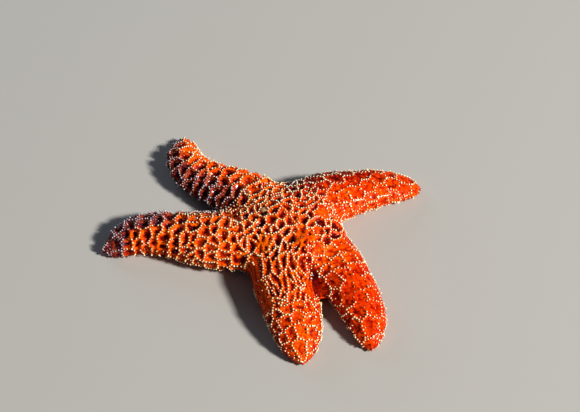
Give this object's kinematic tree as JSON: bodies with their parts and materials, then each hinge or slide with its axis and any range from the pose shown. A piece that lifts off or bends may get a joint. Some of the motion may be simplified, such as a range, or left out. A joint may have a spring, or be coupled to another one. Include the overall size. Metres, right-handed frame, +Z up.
{
  "type": "ochre sea star",
  "caption": "Life-size model of a live orange sea star lying on the floor, its arched rays bent in a natural crawl, with a net of short white spines.",
  "frame": {"origin": "middle of the footprint box, on the floor that the star lies on", "axes": "+Z up, out of the back (aboral side); +X along the longest way across the bent rays, from the left ray's end to the back right ray's end; +Y towards the curled back left ray"},
  "size_m": [0.2202, 0.196, 0.0348],
  "materials": {
    "skin": "wet orange skin with red-brown hollows and a net of short white spines",
    "eyespot": "small shiny red dot",
    "madreporite": "pale chalky button with fine grooves",
    "mouth": "soft wet membrane"
  },
  "bodies": {
    "root": {"disk": "skin", "ray_left_inner": "skin", "ray_left_tip": "skin", "ray_back_left_inner": "skin", "ray_back_left_tip": "skin", "ray_back_right_inner": "skin", "ray_back_right_tip": "skin", "ray_front_right_inner": "skin", "ray_front_right_tip": "skin", "ray_front_inner": "skin", "ray_front_tip": "skin", "eyespot_left": "eyespot", "eyespot_back_left": "eyespot", "eyespot_back_right": "eyespot", "eyespot_front_right": "eyespot", "eyespot_front": "eyespot", "madreporite": "madreporite", "mouth": "mouth"}
  },
  "joints": []
}
